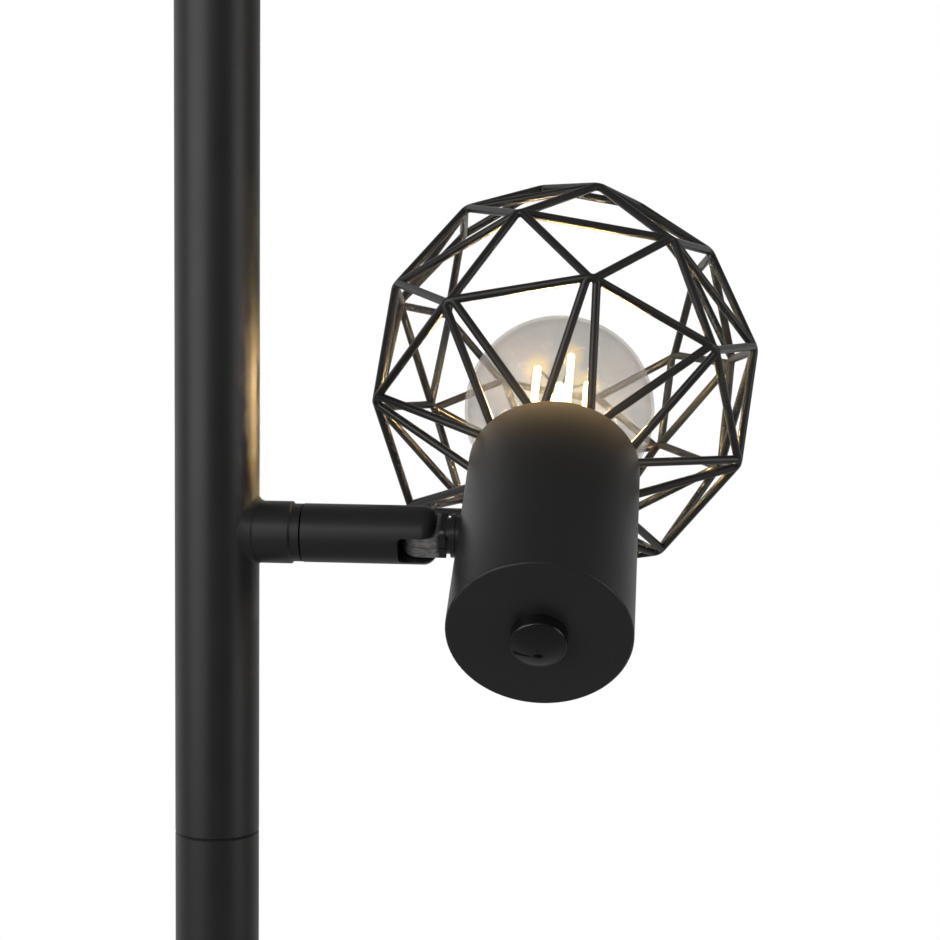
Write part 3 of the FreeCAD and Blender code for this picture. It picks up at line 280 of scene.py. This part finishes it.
def worn_neck_with_painted_light():
    """The neck's bar: its tongue is rubbed bare inside the slot, and the bare metal is made lighter as a
    painted highlight too; the rest keeps its black coat.
    """
    item, tree = material("worn_neck_with_painted_light")
    place = tree.place()
    along = tree.add("ShaderNodeSeparateXYZ", {"Vector": place}).outputs["X"]
    wander = tree.span(tree.noise(*WEAR_EDGE_NOISE), -WEAR_EDGE, WEAR_EDGE)
    ragged = tree.maths("ADD", along, wander)
    beyond = tree.span(ragged, 0.0, 1.0, (BARE_END - BARE_FADE, BARE_END + BARE_FADE))
    # a round bare spot, lighter than the coat
    bare_spot = tree.maths("ADD", tree.distance(BARE_SPOT_PLACE, place), wander)
    coated = tree.maths("MULTIPLY", beyond, tree.span(bare_spot, 0.0, 1.0, BARE_SPOT_EDGE))
    rubs = tree.noise(*RUB_NOISE, tree.stretched(RUB_STRETCH, place))
    # the bare metal, partly wear and partly a painted highlight
    bare = tree.mix(tree.span(rubs, 0.0, 1.0, MIDST), *BARE_METAL_WITH_PAINTED_LIGHT)
    coat = tree.mix(tree.noise(*COAT_CLOUDS), *NECK_COAT)
    tree.principled(
        {
            "Base Color": tree.mix(coated, bare, coat),
            "Metallic": tree.span(coated, BARE_METALLIC, 0.0),
            "Roughness": tree.span(rubs, *RUB_SHEEN),
            "Normal": tree.bump(rubs, RUB_DEPTH),
        }
    )
    return item


MOULDED_CLOUDS = 60.0
MOULDED_GRAIN = (3.0, 0.6)  # detail and roughness of the grain
MOULDED_SHEEN = (-0.05, 0.07)  # how far the grain changes the roughness


def moulded(name, colour, rough, grain, depth, light=1.35, gloss=0.5):
    """Moulded plastic or rubber with a fine grain."""
    item, tree = material(name)
    grains = tree.noise(grain, *MOULDED_GRAIN)
    clouds = tree.noise(MOULDED_CLOUDS)
    tree.principled(
        {
            "Base Color": tree.mix(clouds, colour, scaled(colour, light)),
            "Roughness": tree.span_round(grains, rough, MOULDED_SHEEN, MOST),
            "Specular IOR Level": gloss,
            "Normal": tree.bump(grains, depth),
        }
    )
    return item


# ---------------------------------------------------------------- glass and light
GLASS_TINT = 0.31  # how much the crown hides
GLASS_CLEAR = 0.22  # how much the neck hides
GLASS_NECK = 66.0 * MM
GLASS_RIM = 1.4  # how much more the glass hides where it is seen edge on
RIM_FACING = (0.60, 0.80)
# painted light in the glass: an even emission, a veil that stands in for the lit sticks' light
PAINTED_GLASS_GLOW = 0.21
PAINTED_GLASS_GLOW_COLOUR = (1.0, 0.93, 0.83, 1.0)
SMOKE = (grey(0.004, 0.06), grey(0.008, 0.06))
SMOKE_CLOUDS = 25.0
HIDING_CLOUDS = 40.0
HIDING_SWING = (0.94, 1.06)  # how much more or less the glass hides in its clouds


def tinted_glass():
    """Thin smoke-tinted glass, clearer towards its neck, with a painted veil of light: an even emission that
    stands in for the lit sticks' light in the glass.
    """
    item, tree = material("bulb_glass_tint")
    facing = tree.add("ShaderNodeLayerWeight", {"Blend": 0.5}).outputs["Facing"]
    rim = tree.span(facing, 1.0, GLASS_RIM, RIM_FACING)
    crown = tree.span(tree.along_head(), GLASS_CLEAR, GLASS_TINT, (GLASS_NECK, BULB_CENTRE))
    clouds = tree.span(tree.noise(HIDING_CLOUDS), *HIDING_SWING, MOST)
    tree.principled(
        {
            "Base Color": tree.mix(tree.noise(SMOKE_CLOUDS), *SMOKE),
            "Roughness": 0.32,
            "IOR": 1.45,
            "Specular IOR Level": 0.10,
            "Alpha": tree.maths("MULTIPLY", tree.maths("MULTIPLY", crown, clouds), rim),
            # painted veil of light: the glass glows, though it is no lamp
            "Emission Color": PAINTED_GLASS_GLOW_COLOUR,
            "Emission Strength": PAINTED_GLASS_GLOW,
        }
    )
    return item


STEM_COLOUR = (0.8, 0.78, 0.74, 1.0)
STEM_CLOUDS = 300.0
STEM_HIDES = (0.1, 0.2)


def stem_glass():
    """The clear glass of the stem inside the bulb."""
    item, tree = material("stem_glass")
    tree.principled(
        {
            "Base Color": STEM_COLOUR,
            "Roughness": 0.1,
            "Alpha": tree.span(tree.noise(STEM_CLOUDS), *STEM_HIDES),
        }
    )
    return item


FILAMENT_LIGHT = 370.0  # the strength that lights the lamp
FILAMENT_SEEN = 4.0  # the strength that the camera sees
PHOSPHOR = (0.9, 0.6, 0.25, 1.0)
PHOSPHOR_LIT = ((1.0, 0.72, 0.42, 1.0), (1.0, 0.80, 0.52, 1.0))
PHOSPHOR_DOTS = 900.0


def phosphor():
    """The lit phosphor coat: warm white, a little uneven along each stick."""
    item, tree = material("filament_phosphor_lit")
    seen = tree.add("ShaderNodeLightPath").outputs["Is Camera Ray"]
    tree.principled(
        {
            "Base Color": PHOSPHOR,
            "Roughness": 0.6,
            "Emission Color": tree.mix(tree.noise(PHOSPHOR_DOTS), *PHOSPHOR_LIT),
            "Emission Strength": tree.span(seen, FILAMENT_LIGHT, FILAMENT_SEEN),
        }
    )
    return item


HALO_LIGHT = 0.55
HALO_COLOUR = (1.0, 0.72, 0.34, 1.0)
HALO_TINT = (0.97, 0.86, 0.55, 1.0)
HALO_FALL = 3.0  # the power with which the halo fades towards its edge


def halo():
    """The soft golden light round a lit stick: it tints what is behind it and hides nothing."""
    item, tree = material("filament_halo")
    facing = tree.add("ShaderNodeLayerWeight", {"Blend": 0.5}).outputs["Facing"]
    inside = tree.maths("POWER", tree.maths("SUBTRACT", 1.0, facing), HALO_FALL)
    strength = tree.maths("MULTIPLY", inside, HALO_LIGHT)
    light = tree.add("ShaderNodeEmission", {"Color": HALO_COLOUR, "Strength": strength})
    tint = tree.mix(inside, grey(1.0), HALO_TINT)
    clear = tree.add("ShaderNodeBsdfTransparent", {"Color": tint})
    both = tree.add("ShaderNodeAddShader", {0: light.outputs[0], 1: clear.outputs[0]})
    tree.close(both.outputs[0])
    return item


# ---------------------------------------------------------------- the looks of the CAD pieces
SATIN = (grey(0.0105, WARM), grey(0.0145, WARM), 0.40, 3200.0, 0.02 * MM)
WIRE_SATIN = (grey(0.011, WARM), grey(0.016, WARM), 0.31, 2600.0, 0.015 * MM)
BRASS = (0.62, 0.42, 0.14, 1.0)
BLUE_BLACK = (0.004, 0.004, 0.008, 1.0)
BOARD_GREEN = (0.01, 0.09, 0.025, 1.0)

COAT = powder_coat("black_coat", *SATIN)
# the can's and the cage's coats carry a painted warm glow near the lit sticks
CAN_COAT = powder_coat("can_coat", *SATIN, glow=0.24, fall=4.2 * MM)
CAGE_COAT = powder_coat("cage_coat", *WIRE_SATIN, glow=0.035, fall=7.0 * MM)
MATERIALS = {
    "black_coat": COAT,
    "cage_coat": CAGE_COAT,
    "gloss_black": moulded("gloss_black_cap", grey(0.005), 0.09, 800.0, 0.002 * MM, light=1.2),
    "knuckle_metal": worn_neck_with_painted_light(),
    "plain_steel": metal("plain_steel", grey(0.45), 0.32, 500.0, (1, 1, 6), 0.01 * MM),
    "weight_iron": moulded("weight_iron", grey(0.035), 0.6, 900.0, 0.08 * MM),
    "pad_rubber": moulded("pad_rubber", grey(0.018), 0.85, 1400.0, 0.08 * MM),
    "black_plastic": moulded("black_plastic", grey(0.008), 0.5, 1600.0, 0.02 * MM),
    "holder_plastic": moulded("holder_plastic", grey(0.012), 0.32, 900.0, 0.01 * MM),
    "contact_brass": metal("contact_brass", BRASS, 0.3, 700.0, (1, 1, 4), 0.01 * MM),
    "cap_metal": metal("cap_metal", grey(0.6), 0.22, 500.0, (1, 1, 5), 0.008 * MM),
    "cap_insulator": moulded("cap_insulator", BLUE_BLACK, 0.12, 500.0, 0.01 * MM),
    "tip_solder": metal("tip_solder", grey(0.5), 0.35, 900.0, (1, 1, 1), 0.03 * MM),
    "bulb_glass": tinted_glass(),
    "stem_glass": stem_glass(),
    "driver_board": moulded("driver_board", BOARD_GREEN, 0.35, 900.0, 0.01 * MM),
    "filament_phosphor": phosphor(),
    "filament_wire": moulded("filament_wire", grey(0.002), 0.6, 900.0, 0.004 * MM, gloss=0.02),
    "cable_sheath": moulded("cable_sheath", grey(0.01), 0.5, 1500.0, 0.02 * MM),
}


def dress(item, look):
    item.data.materials.clear()
    item.data.materials.append(look)


for entry in frame["record"]["subparts"]:
    dress(NODES[entry["node"]], MATERIALS[entry["material_slot"]])
dress(NODES["lamp_can"], CAN_COAT)


# ---------------------------------------------------------------- pieces of the scene's own
def piece(name, mesh, slot, body, look=None):
    item = bpy.data.objects.new(name, mesh)
    scene.collection.objects.link(item)
    dress(item, look or MATERIALS[slot])
    mesh.polygons.foreach_set("use_smooth", [True] * len(mesh.polygons))
    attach(item, body)
    return item


def mesh_from(build, name):
    """A mesh made in bmesh by the given function."""
    made = bmesh.new()
    build(made)
    bmesh.ops.recalc_face_normals(made, faces=made.faces)
    mesh = bpy.data.meshes.new(name)
    made.to_mesh(mesh)
    made.free()
    return mesh


# the halo of each lit stick
FILAMENTS = 4
FILAMENT_TURN = 20.4
FILAMENT_CIRCLE = 6.6 * MM
FILAMENT_ENDS = (71.6 * MM, 95.6 * MM)
HALO_RADIUS = 3.9 * MM
HALO_STEPS = 20
HALO_SIDES = 24
HALO_TIP = 1e-6  # the ends are drawn this small and then merged to a point
MERGE = 1e-5


def build_halos(made):
    """Round-ended sleeves, each turned about its stick."""
    profile = []
    low, high = FILAMENT_ENDS
    for step in range(HALO_STEPS + 1):
        angle = math.pi * step / HALO_STEPS - math.pi / 2
        shift = low if angle < 0 else high
        profile.append((HALO_RADIUS * math.cos(angle), shift + HALO_RADIUS * math.sin(angle)))
        if step == HALO_STEPS // 2:
            profile[-1] = (HALO_RADIUS, low)
            profile.append((HALO_RADIUS, high))
    for count in range(FILAMENTS):
        centre = FILAMENT_TURN + 360 / FILAMENTS * count
        rows = []
        for radius, height in profile:
            base = head_point(FILAMENT_CIRCLE, centre, height)
            row = []
            for side in range(HALO_SIDES):
                angle = 2 * math.pi * side / HALO_SIDES
                way = OUT * math.cos(angle) + ACROSS * math.sin(angle)
                row.append(made.verts.new(base + way * max(radius, HALO_TIP)))
            rows.append(row)
        for lower, upper in zip(rows, rows[1:]):
            for side in range(HALO_SIDES):
                following = (side + 1) % HALO_SIDES
                made.faces.new((lower[side], lower[following], upper[following], upper[side]))
    bmesh.ops.remove_doubles(made, verts=made.verts, dist=MERGE)


halos = piece(
    "filament_halos", mesh_from(build_halos, "filament_halos"), "filament_phosphor", "head", halo()
)
halos.visible_shadow = False
halos.visible_diffuse = False

# the coated weld that joins the arm's boss to the pole
WELD_SIDES = 96
WELD_STEPS = 8
WELD_RADIUS = (1.15 * MM, 0.35 * MM)  # above the boss, and below it
WELD_START = 9.3 * MM  # the boss is cut square, so at its sides the weld reaches this far out
WELD_KNEE = 0.45  # where the section bends, between the pole and the weld's end
WELD_TAIL = 0.3 * MM  # how far the section goes on past the pole's skin, to end inside it
WELD_THICK = 0.12 * MM
WELD_SUNK = 0.4 * MM


def build_weld(made):
    """A hollow-faced bead round the boss: each section runs from the pole to the boss."""
    rows = []
    for count in range(WELD_SIDES):
        angle = 2 * math.pi * count / WELD_SIDES
        sideways, upright = math.cos(angle), math.sin(angle)
        radius = WELD_RADIUS[1] + (WELD_RADIUS[0] - WELD_RADIUS[1]) * min(1, 1 + upright)
        ball = BOSS_RADIUS + radius
        out = math.sqrt((POLE_RADIUS + radius) ** 2 - (ball * sideways) ** 2)
        shrink = POLE_RADIUS / (POLE_RADIUS + radius)
        on_pole = Vector((out * shrink, ball * sideways * shrink, ball * upright))
        meet = math.sqrt(POLE_RADIUS**2 - (BOSS_RADIUS * sideways) ** 2)
        end = max(WELD_START, out)
        skin = BOSS_RADIUS + WELD_THICK
        bend = meet + (end - meet) * WELD_KNEE
        on_boss = Vector((end, skin * sideways, skin * upright))
        knee = Vector((bend, skin * sideways, skin * upright))
        tail = on_pole + (on_pole - knee).normalized() * WELD_TAIL
        row = [tail - Vector((tail.x, tail.y, 0)).normalized() * WELD_TAIL / 4]
        for step in range(WELD_STEPS + 1):
            part = step / WELD_STEPS
            curve = on_pole * (1 - part) ** 2 + knee * 2 * part * (1 - part) + on_boss * part**2
            row.append(curve)
        deep = BOSS_RADIUS - WELD_SUNK
        row.append(Vector((end + WELD_THICK, deep * sideways, deep * upright)))
        row.append(Vector((meet - WELD_SUNK, deep * sideways, deep * upright)))
        rows.append([made.verts.new(point + Vector((0, 0, ARM_HEIGHT))) for point in row])
    for row, following in zip(rows, rows[1:] + rows[:1]):
        for step in range(len(row)):
            after = (step + 1) % len(row)
            made.faces.new((row[step], row[after], following[after], following[step]))


piece("boss_weld", mesh_from(build_weld, "boss_weld"), "black_coat", "stand")

# ---------------------------------------------------------------- stage: floor
FLOOR_RADIUS = 3.0
FLOOR_SIDES = 96
FLOOR_PAINT = (grey(0.27), grey(0.30))
FLOOR_CLOUDS = 3.0
WHITENESS = (0.72, 1.0)  # how white the camera sees the floor, in its middle and far out
WHITENESS_REACH = (0.5, FLOOR_RADIUS - 0.4)
GLOSS_WHITENESS = (0.02, 0.30)  # how white gloss sees it, before the object and behind it
GLOSS_REACH = (-0.6, 0.7)


def build_floor(made):
    bmesh.ops.create_circle(made, cap_ends=True, radius=FLOOR_RADIUS, segments=FLOOR_SIDES)


def floor_paint():
    """Pale paint; the camera sees it fade to the backdrop's white."""
    item, tree = material("floor_pale")
    path = tree.add("ShaderNodeLightPath")
    colour = tree.mix(tree.noise(FLOOR_CLOUDS), *FLOOR_PAINT)
    paint = tree.add("ShaderNodeBsdfDiffuse", {"Color": colour})
    white = tree.add("ShaderNodeEmission", {"Color": grey(1.0), "Strength": 1.0})
    from_middle = tree.vector_maths("LENGTH", tree.place()).outputs["Value"]
    fade = tree.span(from_middle, *WHITENESS, WHITENESS_REACH)
    backwards = tree.add("ShaderNodeSeparateXYZ", {"Vector": tree.place()}).outputs["Y"]
    in_gloss = tree.span(backwards, *GLOSS_WHITENESS, GLOSS_REACH)
    seen = tree.maths(
        "ADD",
        tree.maths("MULTIPLY", path.outputs["Is Camera Ray"], fade),
        tree.maths("MULTIPLY", path.outputs["Is Glossy Ray"], in_gloss),
    )
    blend = tree.add("ShaderNodeMixShader", {0: seen, 1: paint.outputs[0], 2: white.outputs[0]})
    tree.close(blend.outputs[0])
    return item


floor = bpy.data.objects.new("floor", mesh_from(build_floor, "floor"))
scene.collection.objects.link(floor)
floor.data.materials.append(floor_paint())

# ---------------------------------------------------------------- stage: lights
AIM_ABOVE = 50 * MM  # how far above the arm the lights aim
AIM = Vector((HEAD_REACH / 2, 0, ARM_HEIGHT + AIM_ABOVE))


def softbox(name, azimuth, elevation, distance, width, height, level):
    """A soft box that faces the head; azimuth counts from the camera's side towards +X."""
    data = bpy.data.lights.new(name, "AREA")
    data.shape = "RECTANGLE"
    data.size = width
    data.size_y = height
    data.energy = level * math.pi * width * height
    item = bpy.data.objects.new(name, data)
    scene.collection.objects.link(item)
    turn, rise = math.radians(azimuth), math.radians(elevation)
    flat = Vector((math.sin(turn), -math.cos(turn), 0))
    place = AIM + (flat * math.cos(rise) + Vector((0, 0, math.sin(rise)))) * distance
    item.location = place
    item.rotation_euler = (AIM - place).to_track_quat("-Z", "Y").to_euler()


softbox("softbox_left", -43.5, 8.0, distance=1.7, width=1.6, height=1.4, level=2.05)
softbox("softbox_right", 72.0, 4.0, distance=1.7, width=0.95, height=1.4, level=1.45)
softbox("softbox_front", -10.0, 24.5, distance=1.9, width=1.1, height=0.38, level=1.6)

# ---------------------------------------------------------------- stage: world
BACKDROP_TURN = 0.3  # how far the backdrop comes forward on the left
BACKDROP_DEPTH = (-0.10, 0.60)
BACKDROP_LEAN = 0.35  # how much higher it is on the left
BACKDROP_TOP = (0.05, 0.85)
BACKDROP_LEVEL = (0.58, 0.45)  # on the left, and on the right
BACKDROP_SIDES = (-0.5, 0.5)
ROOM_LEVEL = (0.08, 0.14)  # at the horizon, and overhead
ROOM_HEIGHTS = (0.0, 0.9)
FILL_LEVEL = 0.45


def studio(tree):
    """White to the camera; gloss sees a backdrop low down behind the object, in a dim room."""
    path = tree.add("ShaderNodeLightPath")
    way = tree.add(
        "ShaderNodeSeparateXYZ", {"Vector": tree.add("ShaderNodeTexCoord").outputs["Generated"]}
    )
    sideways, backwards, upwards = (way.outputs[axis] for axis in "XYZ")
    forward = tree.maths("MULTIPLY", sideways, BACKDROP_TURN)
    behind = tree.span(tree.maths("SUBTRACT", backwards, forward), 0.0, 1.0, BACKDROP_DEPTH)
    lean = tree.maths("MULTIPLY", sideways, BACKDROP_LEAN)
    low_down = tree.span(tree.maths("ADD", upwards, lean), 1.0, 0.0, BACKDROP_TOP)
    side = tree.span(sideways, *BACKDROP_LEVEL, BACKDROP_SIDES)
    room = tree.span(upwards, *ROOM_LEVEL, ROOM_HEIGHTS)
    backdrop = tree.maths("MULTIPLY", tree.maths("MULTIPLY", behind, low_down), side)
    glossy = path.outputs["Is Glossy Ray"]
    gloss = tree.maths("MULTIPLY", glossy, tree.maths("ADD", backdrop, room))
    through = tree.maths(
        "MAXIMUM", path.outputs["Is Camera Ray"], path.outputs["Is Transmission Ray"]
    )
    neither = tree.maths("SUBTRACT", 1.0, tree.maths("MAXIMUM", glossy, through))
    fill = tree.maths("MULTIPLY", neither, FILL_LEVEL)
    level = tree.maths("ADD", tree.maths("MAXIMUM", gloss, through), fill)
    light = tree.add("ShaderNodeBackground", {"Color": grey(1.0), "Strength": level})
    tree.add("ShaderNodeOutputWorld", {"Surface": light.outputs[0]})


world = bpy.data.worlds.new("studio")
world.use_nodes = True
scene.world = world
studio(Tree(world.node_tree))
